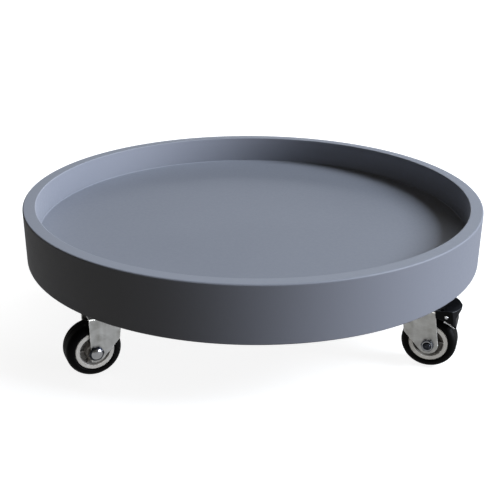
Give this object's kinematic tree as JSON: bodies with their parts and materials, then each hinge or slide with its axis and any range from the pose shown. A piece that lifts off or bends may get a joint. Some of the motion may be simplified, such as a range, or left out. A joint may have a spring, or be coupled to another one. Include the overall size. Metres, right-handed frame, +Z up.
{
  "type": "plant pot caddy",
  "caption": "Round grey tray with a raised rim on small swivel casters, two of them with a foot brake, for moving a heavy plant pot.",
  "frame": {"origin": "centre of the tray on the floor that the tyres stand on", "axes": "+Z up; the casters stand on the diagonals, so +X and -Y are the tray's right and front between two casters"},
  "size_m": [0.35, 0.35, 0.092],
  "materials": {
    "grey_paint": "smooth matt blue-grey paint on board",
    "zinc_steel": "bright zinc plate, satin",
    "bright_steel": "polished nickel plate",
    "hub_plastic": "moulded light grey plastic",
    "tyre_rubber": "smooth black rubber",
    "pedal_plastic": "moulded black plastic"
  },
  "bodies": {
    "tray": {"rim_hoop": "grey_paint", "base_board": "grey_paint", "front_left_mounting_plate": "zinc_steel", "front_left_ball_race": "zinc_steel", "front_left_kingpin": "zinc_steel", "front_left_plate_screw_1": "zinc_steel", "front_left_plate_screw_2": "zinc_steel", "front_left_plate_screw_3": "zinc_steel", "front_left_plate_screw_4": "zinc_steel", "front_right_mounting_plate": "zinc_steel", "front_right_ball_race": "zinc_steel", "front_right_kingpin": "zinc_steel", "front_right_plate_screw_1": "zinc_steel", "front_right_plate_screw_2": "zinc_steel", "front_right_plate_screw_3": "zinc_steel", "front_right_plate_screw_4": "zinc_steel", "rear_left_mounting_plate": "zinc_steel", "rear_left_ball_race": "zinc_steel", "rear_left_kingpin": "zinc_steel", "rear_left_plate_screw_1": "zinc_steel", "rear_left_plate_screw_2": "zinc_steel", "rear_left_plate_screw_3": "zinc_steel", "rear_left_plate_screw_4": "zinc_steel", "rear_right_mounting_plate": "zinc_steel", "rear_right_ball_race": "zinc_steel", "rear_right_kingpin": "zinc_steel", "rear_right_plate_screw_1": "zinc_steel", "rear_right_plate_screw_2": "zinc_steel", "rear_right_plate_screw_3": "zinc_steel", "rear_right_plate_screw_4": "zinc_steel"},
    "front_left_caster": {"front_left_fork": "zinc_steel", "front_left_axle_sleeve": "bright_steel", "front_left_axle_bolt": "bright_steel", "front_left_axle_nut": "bright_steel"},
    "front_left_wheel": {"front_left_hub": "hub_plastic", "front_left_tyre": "tyre_rubber"},
    "front_right_caster": {"front_right_fork": "zinc_steel", "front_right_axle_sleeve": "bright_steel", "front_right_axle_bolt": "bright_steel", "front_right_axle_nut": "bright_steel", "front_right_brake_pin": "bright_steel"},
    "front_right_wheel": {"front_right_hub": "hub_plastic", "front_right_tyre": "tyre_rubber"},
    "front_right_brake": {"front_right_brake_pedal": "pedal_plastic", "front_right_brake_shoe": "bright_steel"},
    "rear_left_caster": {"rear_left_fork": "zinc_steel", "rear_left_axle_sleeve": "bright_steel", "rear_left_axle_bolt": "bright_steel", "rear_left_axle_nut": "bright_steel", "rear_left_brake_pin": "bright_steel"},
    "rear_left_wheel": {"rear_left_hub": "hub_plastic", "rear_left_tyre": "tyre_rubber"},
    "rear_left_brake": {"rear_left_brake_pedal": "pedal_plastic", "rear_left_brake_shoe": "bright_steel"},
    "rear_right_caster": {"rear_right_fork": "zinc_steel", "rear_right_axle_sleeve": "bright_steel", "rear_right_axle_bolt": "bright_steel", "rear_right_axle_nut": "bright_steel"},
    "rear_right_wheel": {"rear_right_hub": "hub_plastic", "rear_right_tyre": "tyre_rubber"}
  },
  "joints": [
    {"name": "front_left_swivel", "type": "hinge", "parent": "tray", "child": "front_left_caster", "pos_m": [-0.10607, -0.10607, 0.0455], "axis": [0, 0, 1], "continuous": true},
    {"name": "front_left_wheel_spin", "type": "hinge", "parent": "front_left_caster", "child": "front_left_wheel", "pos_m": [-0.11722, -0.1105, 0.019], "axis": [0.3697, -0.9291, 0], "continuous": true},
    {"name": "front_right_swivel", "type": "hinge", "parent": "tray", "child": "front_right_caster", "pos_m": [0.10607, -0.10607, 0.0455], "axis": [0, 0, 1], "continuous": true},
    {"name": "front_right_wheel_spin", "type": "hinge", "parent": "front_right_caster", "child": "front_right_wheel", "pos_m": [0.11714, -0.1107, 0.019], "axis": [0.3859, 0.9225, 0], "continuous": true},
    {"name": "front_right_brake_pedal_tilt", "type": "hinge", "parent": "front_right_caster", "child": "front_right_brake", "pos_m": [0.12719, -0.1149, 0.0424], "axis": [0.3859, 0.9225, 0], "range_deg": [0, 9]},
    {"name": "rear_left_swivel", "type": "hinge", "parent": "tray", "child": "rear_left_caster", "pos_m": [-0.10607, 0.10607, 0.0455], "axis": [0, 0, 1], "continuous": true},
    {"name": "rear_left_wheel_spin", "type": "hinge", "parent": "rear_left_caster", "child": "rear_left_wheel", "pos_m": [-0.11727, 0.11037, 0.019], "axis": [-0.3584, -0.9336, 0], "continuous": true},
    {"name": "rear_left_brake_pedal_tilt", "type": "hinge", "parent": "rear_left_caster", "child": "rear_left_brake", "pos_m": [-0.12745, 0.11427, 0.0424], "axis": [-0.3584, -0.9336, 0], "range_deg": [0, 9]},
    {"name": "rear_right_swivel", "type": "hinge", "parent": "tray", "child": "rear_right_caster", "pos_m": [0.10607, 0.10607, 0.0455], "axis": [0, 0, 1], "continuous": true},
    {"name": "rear_right_wheel_spin", "type": "hinge", "parent": "rear_right_caster", "child": "rear_right_wheel", "pos_m": [0.11711, 0.11076, 0.019], "axis": [-0.3907, 0.9205, 0], "continuous": true}
  ]
}
